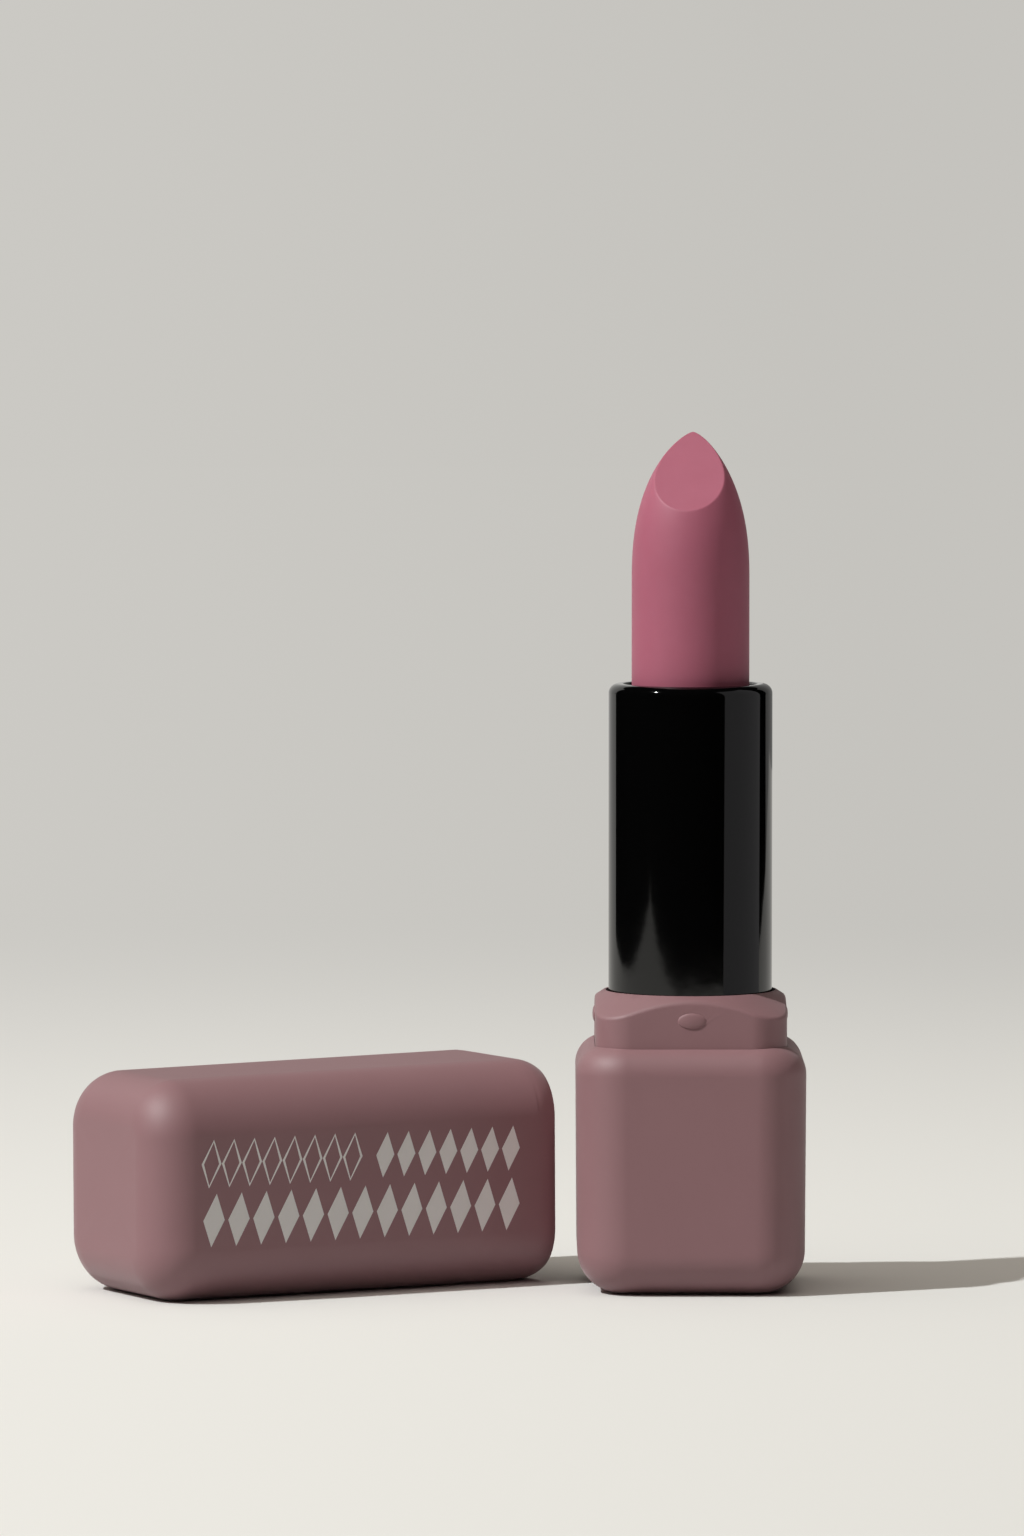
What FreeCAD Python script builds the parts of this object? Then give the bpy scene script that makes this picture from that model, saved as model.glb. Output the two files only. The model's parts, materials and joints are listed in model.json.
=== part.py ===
import FreeCAD, Part
import math
import os

# Lipstick case: a square weighted base with a snap collar, a round twist tube that raises and
# lowers the lipstick, and a loose square cap that lies on its side to the left of the case.
#
# Frame: millimetres, +Z up, origin at the centre of the base's foot on the table. The base's
# flat faces look along +X, -X, +Y and -Y. The lipstick stands fully raised. Turning the tube
# anticlockwise, seen from above, winds the lipstick down.

# ---- lipstick and carrier cup ----
BULLET_R = 6.1              # radius of the lipstick stick
NOSE_LENGTH = 15.2          # from the tip down to the end of the round stick
NOSE_SWELL = 2.4            # exponents of the nose's outline: how soon it is full, and how
NOSE_BLUNT = 0.7            # blunt it is right at the tip
NOSE_LEAN = 3.2             # tip behind the stick's axis
LEAN_FADE = 6.4             # exponent: how soon the lean is gone below the tip
CUT_SLOPE = 43.0            # degrees between the slanted cut and the table
CUT_TURN = 5.3              # degrees the cut is turned towards -X from facing -Y
CUT_EDGE = 0.12             # rounding of the edge of the cut
TIP_SINK = 1.0              # tip below the tube's top when wound down
CUP_HEIGHT = 11.5
CUP_WALL = 0.35
CUP_FLOOR = 0.9
CUP_HOLE_R = 3.0            # air hole through the cup's floor
CUP_SET = 1.0               # cup rim below the tube's top when wound up
CUP_REST_GAP = 2.0          # cup above the barrel's floor when wound down
LUG_R = 0.85                # the two guide lugs on the cup
LUG_LEVEL = 2.0             # lug axis above the cup's underside

# ---- twist mechanism ----
BARREL_WALL = 0.6
BARREL_FLOOR = 1.6
BARREL_FLANGE = 1.0         # thickness of the flange that carries the turning tube
SPIGOT_R = 4.0              # plug under the barrel, pressed into the inner base
SLEEVE_WALL = 0.85
GROOVE_DEPTH = 0.5
TURNS = 1.75                # turns of the tube over the whole travel
BRAKE_DEPTH = 0.3           # depth of the grooves that seat the two brake rings
BRAKE_WIDTH = 0.9
BRAKE_INSET = 1.6           # brake ring beyond the end of the slots

# ---- outer tube ----
TUBE_RISE = 37.0            # tube top above the base's top
TUBE_WALL = 0.43
TUBE_RIM_ROUND = 1.0        # rolled outer edge at the top
TUBE_LIP = 0.4              # thickness of the lip turned in over the barrel
LIP_OVERLAP = 0.25          # how far the lip covers the barrel's wall
LIP_EDGE = 0.18

# ---- base ----
BASE_HEIGHT = 25.7
BASE_SHOULDER = 1.95        # shell wall beside the collar, at the top
BASE_DRAFT = 0.35           # degrees each side, narrower towards the foot
BASE_CORNER = 5.2
BASE_FOOT_ROUND = 4.5
BASE_TOP_ROUND = 3.0
BASE_FLOOR = 2.0
WELL_DEPTH = 6.1            # tube well's floor below the base's top
WELL_FLOOR = 2.0
SKIRT_WALL = 1.5
WEIGHT_HEIGHT = 5.0
WEIGHT_PAD = 1.0
WEIGHT_EDGE = 0.6
LABEL_R = 6.0
LABEL_THICK = 0.12
LABEL_RECESS = 0.15

# ---- collar ----
COLLAR_WALL = 1.1           # between the tube well and a flat face
COLLAR_CORNER = 3.75
COLLAR_RISE = 5.2           # above the base's top
COLLAR_SEAT = 3.1           # below the base's top
COLLAR_SLOPE = 33.0         # degrees of the conical top that cuts the faces into arches
COLLAR_SOFT = 0.55          # rounding of the arch edges
COLLAR_HOLE_EDGE = 0.2
SNAP_LENGTH = 2.9
SNAP_HEIGHT = 1.65
SNAP_PROUD = 0.25
SNAP_LEVEL = 2.7            # above the base's top

# ---- cap ----
CAP_WALL = 1.03             # at the mouth, beside a flat face
CAP_DRAFT = 0.3             # degrees each side, narrower towards the closed end
CAP_CORNER = 5.8
CAP_END_ROUND = 4.9
CAP_MOUTH_ROUND = 4.0
CAP_LAND = 0.25             # width of the flat land on the mouth's rim
CAP_END = 2.5
CAP_HEADROOM = 3.0          # above the tube inside the closed cap
CAP_WEIGHT = 4.6
CAP_WEIGHT_PAD = 0.5
LINER_WALL = 0.55
LINER_END = 0.8
LINER_SET = 0.5             # liner's edge inside the cap's rim
CAP_YAW = 28.9              # degrees the lying cap is turned from the row's X axis
CAP_ASIDE = 27.1            # middle of the lying cap, from the base's -X face
CAP_BEHIND = 0.9            # and behind the twist axis

# ---- clearances ----
SEAT_GAP = 0.02             # glued or pressed together
SLIDE_GAP = 0.06            # cup in the barrel, each side
TURN_GAP = 0.07             # sleeve on the barrel, each side
BRAKE_GAP = 0.03            # brake ring to sleeve
LUG_GAP = 0.1               # lug in its slot and in its spiral groove
END_GAP = 0.1               # turning tube above the flange
WELL_GAP = 0.3              # tube in the collar's well
POCKET_GAP = 0.05           # collar and inner base in the shell
CAP_GAP = 0.1               # collar in the cap's liner

# ---- radii, from the stick outwards ----
CUP_R_IN = BULLET_R + SEAT_GAP
CUP_R = CUP_R_IN + CUP_WALL
BARREL_R_IN = CUP_R + SLIDE_GAP
BARREL_R = BARREL_R_IN + BARREL_WALL
SLEEVE_R_IN = BARREL_R + TURN_GAP
SLEEVE_R = SLEEVE_R_IN + SLEEVE_WALL
TUBE_R_IN = SLEEVE_R + SEAT_GAP
TUBE_R = TUBE_R_IN + TUBE_WALL
LIP_R = BARREL_R - LIP_OVERLAP
GROOVE_R = SLEEVE_R_IN + GROOVE_DEPTH
LUG_REACH = GROOVE_R - LUG_GAP
WELL_R = TUBE_R + WELL_GAP

# ---- widths across the flat faces, from the collar outwards ----
COLLAR_WIDTH = 2 * (WELL_R + COLLAR_WALL)
POCKET_WIDTH = COLLAR_WIDTH + 2 * POCKET_GAP
POCKET_CORNER = COLLAR_CORNER + POCKET_GAP
BASE_WIDTH = POCKET_WIDTH + 2 * BASE_SHOULDER
BASE_FOOT_WIDTH = BASE_WIDTH - 2 * BASE_HEIGHT * math.tan(math.radians(BASE_DRAFT))
LINER_WIDTH_IN = COLLAR_WIDTH + 2 * CAP_GAP
LINER_CORNER_IN = COLLAR_CORNER + CAP_GAP
LINER_WIDTH = LINER_WIDTH_IN + 2 * LINER_WALL
LINER_CORNER = LINER_CORNER_IN + LINER_WALL
CAP_POCKET = LINER_WIDTH + 2 * SEAT_GAP
CAP_POCKET_CORNER = LINER_CORNER + SEAT_GAP
CAP_WIDTH = CAP_POCKET + 2 * CAP_WALL

# ---- levels above the table ----
TUBE_TOP = BASE_HEIGHT + TUBE_RISE
WELL_Z = BASE_HEIGHT - WELL_DEPTH
INNER_FLOOR_Z = WELL_Z - WELL_FLOOR
INNER_FOOT_Z = BASE_FLOOR + WEIGHT_HEIGHT + WEIGHT_PAD
COLLAR_FOOT_Z = BASE_HEIGHT - COLLAR_SEAT
COLLAR_TOP_Z = BASE_HEIGHT + COLLAR_RISE
FLANGE_TOP_Z = WELL_Z + BARREL_FLANGE
TUBE_FOOT_Z = FLANGE_TOP_Z + END_GAP
SLEEVE_TOP_Z = TUBE_TOP - TUBE_RIM_ROUND - END_GAP
BARREL_TOP_Z = TUBE_TOP - TUBE_LIP - 2 * END_GAP
CUP_HIGH_Z = TUBE_TOP - CUP_SET - CUP_HEIGHT
CUP_LOW_Z = WELL_Z + BARREL_FLOOR + CUP_REST_GAP
TRAVEL = CUP_HIGH_Z - CUP_LOW_Z
LUG_HIGH_Z = CUP_HIGH_Z + LUG_LEVEL
LUG_LOW_Z = CUP_LOW_Z + LUG_LEVEL
SLOT_LOW_Z = LUG_LOW_Z - LUG_R - LUG_GAP
SLOT_HIGH_Z = LUG_HIGH_Z + LUG_R + LUG_GAP
TIP_Z = TUBE_TOP - TIP_SINK + TRAVEL
NOSE_Z = TIP_Z - NOSE_LENGTH
STICK_FOOT_Z = CUP_HIGH_Z + CUP_FLOOR + SEAT_GAP

PITCH = TRAVEL / TURNS      # rise of the spiral groove in one turn

# ---- cap, measured upwards from the plane of its untrimmed mouth ----
CAP_CAVITY = TUBE_RISE + CAP_HEADROOM
CAP_WEIGHT_Z = CAP_CAVITY + LINER_END + SEAT_GAP
CAP_PAD_Z = CAP_WEIGHT_Z + CAP_WEIGHT
CAP_LENGTH = CAP_PAD_Z + CAP_WEIGHT_PAD + CAP_END
CAP_END_WIDTH = CAP_WIDTH - 2 * CAP_LENGTH * math.tan(math.radians(CAP_DRAFT))
CAP_LAND_INSET = CAP_WALL - CAP_LAND


def round_drop(radius, inset):
    """Depth of a rounded edge below its end plane, at a distance in from the side."""
    return radius - math.sqrt(radius ** 2 - (radius - inset) ** 2)


CAP_RIM_Z = round_drop(CAP_MOUTH_ROUND, CAP_LAND_INSET)
CAP_SNAP_Z = SNAP_LEVEL + CAP_RIM_Z + round_drop(BASE_TOP_ROUND, BASE_SHOULDER)


def vector(x, y, z):
    return FreeCAD.Vector(x, y, z)


UP = vector(0, 0, 1)
CENTRE = vector(0, 0, 0)


def cylinder(radius, low, high):
    return Part.makeCylinder(radius, high - low, vector(0, 0, low))


def ring(radius, radius_in, low, high):
    return cylinder(radius, low, high).cut(cylinder(radius_in, low, high))


def square_prism(width, corner, low, high):
    """Upright square bar with round corners."""
    side = width / 2
    bar = Part.makeBox(width, width, high - low, vector(-side, -side, low))
    return bar.makeFillet(corner, upright_edges(bar))


def upright_edges(shape):
    """Edges that climb the whole height of a block."""
    height = shape.BoundBox.ZLength
    return [edge for edge in shape.Edges if edge.BoundBox.ZLength > 0.9 * height]


def edges_at(shape, level):
    """Edges that lie in the plane z = level."""
    near = 0.01
    return [
        edge
        for edge in shape.Edges
        if abs(edge.BoundBox.ZMin - level) < near and abs(edge.BoundBox.ZMax - level) < near
    ]


def drafted_block(low_width, high_width, height, corner, low_round, high_round):
    """Square block with drafted sides, round corners and rounded ends, standing on z = 0."""
    low = low_width / 2
    high = high_width / 2
    largest_round = 0.9 * corner    # an end's rounding stays within the corner's
    low_round = min(low_round, largest_round)
    high_round = min(high_round, largest_round)
    block = Part.makeWedge(-low, 0, -low, -high, -high, low, height, low, high, high)
    block.rotate(CENTRE, vector(1, 0, 0), 90)
    block = block.makeFillet(corner, upright_edges(block))
    block = block.makeFillet(low_round, edges_at(block, 0))
    return block.makeFillet(high_round, edges_at(block, height))


def around(shape, count):
    """Copies of a shape, evenly turned about the case's axis."""
    turned = []
    for index in range(count):
        copy = shape.copy()
        copy.rotate(CENTRE, UP, 360 * index / count)
        turned.append(copy)
    return turned


def revolved(edges):
    return Part.Face(Part.Wire(edges)).revolve(CENTRE, UP, 360)


def line(start, end):
    """Straight edge between two (radius, height) points."""
    return Part.makeLine(vector(start[0], 0, start[1]), vector(end[0], 0, end[1]))


def corner_arc(centre, radius, start_angle):
    """Quarter circle in the radius-height plane, anticlockwise from start_angle."""
    points = []
    for angle in (start_angle, start_angle + 45, start_angle + 90):
        turn = math.radians(angle)
        points.append(vector(centre[0] + radius * math.cos(turn), 0, centre[1] + radius * math.sin(turn)))
    return Part.Arc(*points).toShape()


def oval_dome(length, height, proud, level, face):
    """Oval bump centred on the face that looks along -Y."""
    dome = Part.makeSphere(1)
    stretch = FreeCAD.Matrix()
    stretch.scale(length / 2, proud, height / 2)
    stretch.move(vector(0, -face, level))
    return dome.transformGeometry(stretch)


# ---- base ----


def base_shell():
    """Outer shell: chunky rounded square with a straight pocket for everything it holds."""
    block = drafted_block(
        BASE_FOOT_WIDTH, BASE_WIDTH, BASE_HEIGHT, BASE_CORNER, BASE_FOOT_ROUND, BASE_TOP_ROUND
    )
    pocket = square_prism(POCKET_WIDTH, POCKET_CORNER, BASE_FLOOR, BASE_HEIGHT)
    recess = cylinder(LABEL_R + POCKET_GAP, 0, LABEL_RECESS)
    return block.cut(pocket).cut(recess)


def bottom_label():
    """Round blank sticker in the foot's recess."""
    return cylinder(LABEL_R, LABEL_RECESS - LABEL_THICK, LABEL_RECESS)


def base_weight():
    """Steel slug on the shell's floor."""
    slug = square_prism(COLLAR_WIDTH, COLLAR_CORNER, BASE_FLOOR, BASE_FLOOR + WEIGHT_HEIGHT)
    return slug.makeChamfer(WEIGHT_EDGE, edges_at(slug, BASE_FLOOR + WEIGHT_HEIGHT))


def base_weight_pad():
    """Foam sheet that keeps the slug from rattling under the inner base."""
    return square_prism(COLLAR_WIDTH, COLLAR_CORNER, BASE_FLOOR + WEIGHT_HEIGHT, INNER_FOOT_Z)


def inner_base():
    """Socket glued into the shell: a hollow skirt below, the tube's well above."""
    body = square_prism(COLLAR_WIDTH, COLLAR_CORNER, INNER_FOOT_Z, COLLAR_FOOT_Z)
    hollow = square_prism(
        COLLAR_WIDTH - 2 * SKIRT_WALL, COLLAR_CORNER - SKIRT_WALL, INNER_FOOT_Z, INNER_FLOOR_Z
    )
    well = cylinder(WELL_R, WELL_Z, COLLAR_FOOT_Z)
    hole = cylinder(SPIGOT_R + SEAT_GAP, INNER_FLOOR_Z, WELL_Z)
    return body.cut(hollow).cut(well).cut(hole)


def collar():
    """Square collar that the cap snaps onto; a cone cuts its top into four arches."""
    body = square_prism(COLLAR_WIDTH, COLLAR_CORNER, COLLAR_FOOT_Z, COLLAR_TOP_Z)
    height = COLLAR_TOP_Z - COLLAR_FOOT_Z
    rim = WELL_R + COLLAR_HOLE_EDGE
    spread = height / math.tan(math.radians(COLLAR_SLOPE))
    body = body.common(Part.makeCone(rim + spread, rim, height, vector(0, 0, COLLAR_FOOT_Z)))
    arches = [edge for edge in body.Edges if above_base(edge)]
    body = body.makeFillet(COLLAR_SOFT, arches)
    body = body.cut(cylinder(WELL_R, COLLAR_FOOT_Z, COLLAR_TOP_Z))
    snap = oval_dome(SNAP_LENGTH, SNAP_HEIGHT, SNAP_PROUD, BASE_HEIGHT + SNAP_LEVEL, COLLAR_WIDTH / 2)
    return body.fuse(around(snap, 4))


def above_base(edge):
    """Whether an edge of the collar is part of its arches, clear of its rim and its foot."""
    return edge.BoundBox.ZMin > BASE_HEIGHT and edge.BoundBox.ZMax < COLLAR_TOP_Z - 0.1


# ---- twist mechanism ----


def brake_levels():
    """Middles of the two brake rings, below and above the slots."""
    return SLOT_LOW_Z - BRAKE_INSET, SLOT_HIGH_Z + BRAKE_INSET


def slotted_barrel():
    """Fixed guide tube: two upright slots stop the cup from turning."""
    barrel = cylinder(BARREL_R, WELL_Z, BARREL_TOP_Z)
    barrel = barrel.fuse(cylinder(SLEEVE_R, WELL_Z, FLANGE_TOP_Z))
    barrel = barrel.fuse(cylinder(SPIGOT_R, INNER_FLOOR_Z, WELL_Z))
    barrel = barrel.cut(cylinder(BARREL_R_IN, WELL_Z + BARREL_FLOOR, BARREL_TOP_Z))
    half = LUG_R + LUG_GAP
    slots = Part.makeBox(
        2 * TUBE_R, 2 * half, SLOT_HIGH_Z - SLOT_LOW_Z, vector(-TUBE_R, -half, SLOT_LOW_Z)
    )
    barrel = barrel.cut(slots)
    for level in brake_levels():
        low = level - BRAKE_WIDTH / 2
        high = level + BRAKE_WIDTH / 2
        barrel = barrel.cut(ring(BARREL_R, BARREL_R - BRAKE_DEPTH, low, high))
    return barrel


def brake_ring(level):
    """Silicone ring that makes the tube turn with a smooth drag."""
    low = level - BRAKE_WIDTH / 2 + SEAT_GAP
    high = level + BRAKE_WIDTH / 2 - SEAT_GAP
    radius = SLEEVE_R_IN - BRAKE_GAP
    body = ring(radius, BARREL_R - BRAKE_DEPTH, low, high)
    rims = edges_at(body, low) + edges_at(body, high)
    outer = [edge for edge in rims if edge.Length > 2 * math.pi * BARREL_R]
    return body.makeFillet(BRAKE_DEPTH / 2, outer)


def spiral_groove():
    """One helical channel, from the lug's lowest place to its highest, on the +X side."""
    half_angle = math.degrees((LUG_R + LUG_GAP) / SLEEVE_R_IN)
    overrun = PITCH * half_angle / 360
    height = LUG_HIGH_Z - LUG_LOW_Z + 2 * overrun
    helix = Part.makeHelix(PITCH, height, SLEEVE_R_IN)
    lead = math.atan(PITCH / (2 * math.pi * SLEEVE_R_IN))
    half = (LUG_R + LUG_GAP) / math.cos(lead)
    inside = SLEEVE_R_IN - GROOVE_DEPTH
    section = Part.makePolygon([
        vector(inside, 0, -half),
        vector(GROOVE_R, 0, -half),
        vector(GROOVE_R, 0, half),
        vector(inside, 0, half),
        vector(inside, 0, -half),
    ])
    channel = Part.Wire(helix.Edges).makePipeShell([section], True, True)
    channel.translate(vector(0, 0, LUG_LOW_Z - overrun))
    channel.rotate(CENTRE, UP, -360 * TURNS - half_angle)
    return channel


def spiral_sleeve():
    """Sleeve glued in the outer tube; its two spiral grooves drive the cup's lugs."""
    sleeve = ring(SLEEVE_R, SLEEVE_R_IN, TUBE_FOOT_Z, SLEEVE_TOP_Z)
    for channel in around(spiral_groove(), 2):
        sleeve = sleeve.cut(channel)
    return sleeve


def outer_tube():
    """Glossy tube with a rolled rim and a lip turned in over the barrel."""
    straight_top = TUBE_TOP - TUBE_RIM_ROUND
    rim_r = TUBE_R - TUBE_RIM_ROUND
    inside_round = TUBE_RIM_ROUND - TUBE_WALL
    lip_under = TUBE_TOP - TUBE_LIP
    inside_centre = (TUBE_R_IN - inside_round, lip_under - inside_round)
    lip_centre = (LIP_R + LIP_EDGE, TUBE_TOP - LIP_EDGE)
    return revolved([
        line((TUBE_R_IN, TUBE_FOOT_Z), (TUBE_R, TUBE_FOOT_Z)),
        line((TUBE_R, TUBE_FOOT_Z), (TUBE_R, straight_top)),
        corner_arc((rim_r, straight_top), TUBE_RIM_ROUND, 0),
        line((rim_r, TUBE_TOP), (lip_centre[0], TUBE_TOP)),
        corner_arc(lip_centre, LIP_EDGE, 90),
        line((LIP_R, lip_centre[1]), (LIP_R, lip_under)),
        line((LIP_R, lip_under), (inside_centre[0], lip_under)),
        corner_arc(inside_centre, inside_round, 0),
        line((TUBE_R_IN, inside_centre[1]), (TUBE_R_IN, TUBE_FOOT_Z)),
    ])


def carrier_cup():
    """Cup that holds the stick; its lugs pass through the slots into the spiral grooves."""
    rim = CUP_HIGH_Z + CUP_HEIGHT
    body = cylinder(CUP_R, CUP_HIGH_Z, rim)
    reach = Part.makeCylinder(LUG_R, 2 * LUG_REACH, vector(-LUG_REACH, 0, LUG_HIGH_Z), vector(1, 0, 0))
    body = body.fuse(reach)
    body = body.cut(cylinder(CUP_R_IN, CUP_HIGH_Z + CUP_FLOOR, rim))
    return body.cut(cylinder(CUP_HOLE_R, CUP_HIGH_Z, CUP_HIGH_Z + CUP_FLOOR))


def nose_section(depth):
    """Round section of the uncut nose at a depth below the tip; its centre leans back."""
    rise = 1 - depth / NOSE_LENGTH
    radius = BULLET_R * (1 - rise ** NOSE_SWELL) ** NOSE_BLUNT
    centre = vector(0, NOSE_LEAN * rise ** LEAN_FADE, TIP_Z - depth)
    return Part.Wire(Part.makeCircle(radius, centre, UP))


def above_cut():
    """Block above the slanted cut, whose plane passes through the tip."""
    size = 10 * BULLET_R            # larger than anything it cuts
    block = Part.makeBox(size, size, size, vector(-size / 2, -size / 2, 0))
    block.rotate(CENTRE, vector(1, 0, 0), CUT_SLOPE)
    block.translate(vector(0, NOSE_LEAN, TIP_Z))
    return block


def bullet():
    """Lipstick stick: round, with a nose leaning back and one slanted cut up to the tip."""
    steps = 14
    first = 0.04 * NOSE_LENGTH / steps      # the topmost section is all but a point
    depths = [first + (NOSE_LENGTH - first) * (step / steps) ** 2 for step in range(steps + 1)]
    nose = Part.makeLoft([nose_section(depth) for depth in reversed(depths)], True)
    shank = Part.makeCylinder(BULLET_R, NOSE_Z - STICK_FOOT_Z, vector(0, 0, STICK_FOOT_Z))
    stick = shank.fuse(nose).removeSplitter()
    block = above_cut()
    stick = stick.cut(block)
    cut_edges = [edge for edge in stick.Edges if lies_on(edge, block)]
    stick = stick.makeFillet(CUT_EDGE, cut_edges)
    stick.rotate(CENTRE, UP, -CUT_TURN)
    return stick


def lies_on(edge, shape):
    """Whether an edge's middle touches a shape."""
    middle = edge.valueAt((edge.FirstParameter + edge.LastParameter) / 2)
    return shape.distToShape(Part.Vertex(middle))[0] < 0.001


# ---- cap, made upright with its mouth down, then laid on its side ----


def lay(shape):
    """Tip the cap onto one drafted side, closed end towards -X, and set it beside the case."""
    laid = shape.copy()
    laid.translate(vector(0, 0, -CAP_LENGTH / 2))
    laid.rotate(CENTRE, vector(0, 1, 0), -90 - CAP_DRAFT)
    middle_width = (CAP_WIDTH + CAP_END_WIDTH) / 2
    laid.translate(vector(0, 0, middle_width / 2 * math.cos(math.radians(CAP_DRAFT))))
    laid.rotate(CENTRE, UP, CAP_YAW)
    laid.translate(vector(-BASE_WIDTH / 2 - CAP_ASIDE, CAP_BEHIND, 0))
    return laid


def cap_shell():
    """Outer shell of the cap, matching the base's corners."""
    block = drafted_block(
        CAP_WIDTH, CAP_END_WIDTH, CAP_LENGTH, CAP_CORNER, CAP_MOUTH_ROUND, CAP_END_ROUND
    )
    pocket = square_prism(CAP_POCKET, CAP_POCKET_CORNER, 0, CAP_LENGTH - CAP_END)
    trim = square_prism(2 * CAP_WIDTH, CAP_CORNER, -CAP_RIM_Z, CAP_RIM_Z)
    return lay(block.cut(pocket).cut(trim))


def cap_liner():
    """Inner sleeve with a closed end and four dimples that click over the collar's bumps."""
    foot = CAP_RIM_Z + LINER_SET
    liner = square_prism(LINER_WIDTH, LINER_CORNER, foot, CAP_CAVITY + LINER_END)
    liner = liner.cut(square_prism(LINER_WIDTH_IN, LINER_CORNER_IN, foot, CAP_CAVITY))
    dimple = oval_dome(
        SNAP_LENGTH + 2 * CAP_GAP,
        SNAP_HEIGHT + 2 * CAP_GAP,
        SNAP_PROUD,
        CAP_SNAP_Z,
        LINER_WIDTH_IN / 2,
    )
    for copy in around(dimple, 4):
        liner = liner.cut(copy)
    return lay(liner)


def cap_weight():
    """Steel plate that gives the cap its heft."""
    plate = square_prism(LINER_WIDTH, LINER_CORNER, CAP_WEIGHT_Z, CAP_PAD_Z)
    return lay(plate.makeChamfer(WEIGHT_EDGE, edges_at(plate, CAP_PAD_Z)))


def cap_weight_pad():
    """Double-sided foam tape between the plate and the cap's closed end."""
    return lay(square_prism(LINER_WIDTH, LINER_CORNER, CAP_PAD_Z, CAP_LENGTH - CAP_END))


def pieces():
    """Every piece of the lipstick case, by name."""
    lower_brake, upper_brake = brake_levels()
    return {
        "base_shell": base_shell(),
        "bottom_label": bottom_label(),
        "base_weight": base_weight(),
        "base_weight_pad": base_weight_pad(),
        "inner_base": inner_base(),
        "collar": collar(),
        "slotted_barrel": slotted_barrel(),
        "brake_ring_lower": brake_ring(lower_brake),
        "brake_ring_upper": brake_ring(upper_brake),
        "spiral_sleeve": spiral_sleeve(),
        "outer_tube": outer_tube(),
        "carrier_cup": carrier_cup(),
        "bullet": bullet(),
        "cap_shell": cap_shell(),
        "cap_liner": cap_liner(),
        "cap_weight": cap_weight(),
        "cap_weight_pad": cap_weight_pad(),
    }


def main():
    os.makedirs("parts", exist_ok=True)
    for name, shape in pieces().items():
        if not shape.isValid() or len(shape.Solids) != 1:
            raise ValueError(name + " is not one valid solid")
        shape.exportStep("parts/" + name + ".step")
        print(name, round(shape.Volume, 1), "mm3")


main()
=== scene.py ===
# %% [markdown]
# # A lipstick case on a studio table
#
# The case is a weighted square base, a round glossy tube that turns, a stick of matte lipstick
# and a square cap that lies beside them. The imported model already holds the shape, size and
# motion of every moulded piece, so this lesson is about looks: the light first, then one finish
# after another, then the three things that only Blender makes here: the stick with its slanted
# tip, a film of lacquer on the cap, and the print on the cap.

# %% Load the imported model
import json
import math

import bpy
from mathutils import Matrix, Vector


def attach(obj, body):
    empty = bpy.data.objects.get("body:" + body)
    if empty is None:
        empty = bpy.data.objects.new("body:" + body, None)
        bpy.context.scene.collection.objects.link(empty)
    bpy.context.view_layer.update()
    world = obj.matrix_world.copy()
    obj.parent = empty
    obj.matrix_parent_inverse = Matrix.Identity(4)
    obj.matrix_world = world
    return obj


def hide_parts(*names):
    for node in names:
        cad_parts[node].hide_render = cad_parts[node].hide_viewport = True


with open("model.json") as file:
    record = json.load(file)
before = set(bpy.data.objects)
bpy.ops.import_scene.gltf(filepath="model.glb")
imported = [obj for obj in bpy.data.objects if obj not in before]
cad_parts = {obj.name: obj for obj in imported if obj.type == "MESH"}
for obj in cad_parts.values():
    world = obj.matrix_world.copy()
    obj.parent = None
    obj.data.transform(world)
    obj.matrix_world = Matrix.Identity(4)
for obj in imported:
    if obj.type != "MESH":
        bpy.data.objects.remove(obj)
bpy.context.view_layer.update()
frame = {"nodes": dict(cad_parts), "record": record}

MM = 0.001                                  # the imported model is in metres
nodes = frame["nodes"]
scene = bpy.context.scene
print("pieces from the packed model:", len(nodes))

# %% [markdown]
# ## A notation for node trees
#
# A node tree written one link at a time hides what it works out. Here a socket is wrapped in a
# small class, so sums on sockets are written as sums and become Math nodes. Everything else,
# from a noise to a shader, comes from one method that first makes a node's settings and then
# fills its sockets. The same pair serves materials, the world and Geometry Nodes.

# %% The wrapper for sockets
class Wire:
    """An output of a node. Arithmetic on it adds Math nodes to the same tree."""

    def __init__(self, tree, socket):
        self.tree = tree
        self.socket = socket

    def __getitem__(self, name):
        """Another output of the same node, by name or by place."""
        return Wire(self.tree, self.socket.node.outputs[name])

    def math(self, operation, *values):
        return make(self.tree, "ShaderNodeMath", {"operation": operation}, dict(enumerate(values)))

    def __add__(self, other):
        return self.math("ADD", self, other)

    def __radd__(self, other):
        return self.math("ADD", other, self)

    def __sub__(self, other):
        return self.math("SUBTRACT", self, other)

    def __rsub__(self, other):
        return self.math("SUBTRACT", other, self)

    def __mul__(self, other):
        return self.math("MULTIPLY", self, other)

    def __rmul__(self, other):
        return self.math("MULTIPLY", other, self)

    def __truediv__(self, other):
        return self.math("DIVIDE", self, other)

    def __rtruediv__(self, other):
        return self.math("DIVIDE", other, self)

    def __pow__(self, other):
        return self.math("POWER", self, other)

    def at_least(self, other):
        return self.math("MAXIMUM", self, other)

    def at_most(self, other):
        return self.math("MINIMUM", self, other)

    def sine(self):
        return self.math("SINE", self)

    def cosine(self):
        return self.math("COSINE", self)

    def sign(self):
        return self.math("SIGN", self)


# %% One method for any other node
def make(tree, kind, settings=None, sockets=None):
    """Adds a node, makes its settings, then fills its sockets with values or links."""
    node = tree.nodes.new(kind)
    for name, value in (settings or {}).items():
        setattr(node, name, value)
    for name, value in (sockets or {}).items():
        if isinstance(value, Wire):
            tree.links.new(value.socket, node.inputs[name])
        else:
            node.inputs[name].default_value = value
    return Wire(tree, node.outputs[0]) if node.outputs else node


# %% What every material shares
def new_material(name):
    """A material with an empty tree."""
    material = bpy.data.materials.new(name)
    material.use_nodes = True
    material.node_tree.nodes.clear()
    return material


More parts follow.
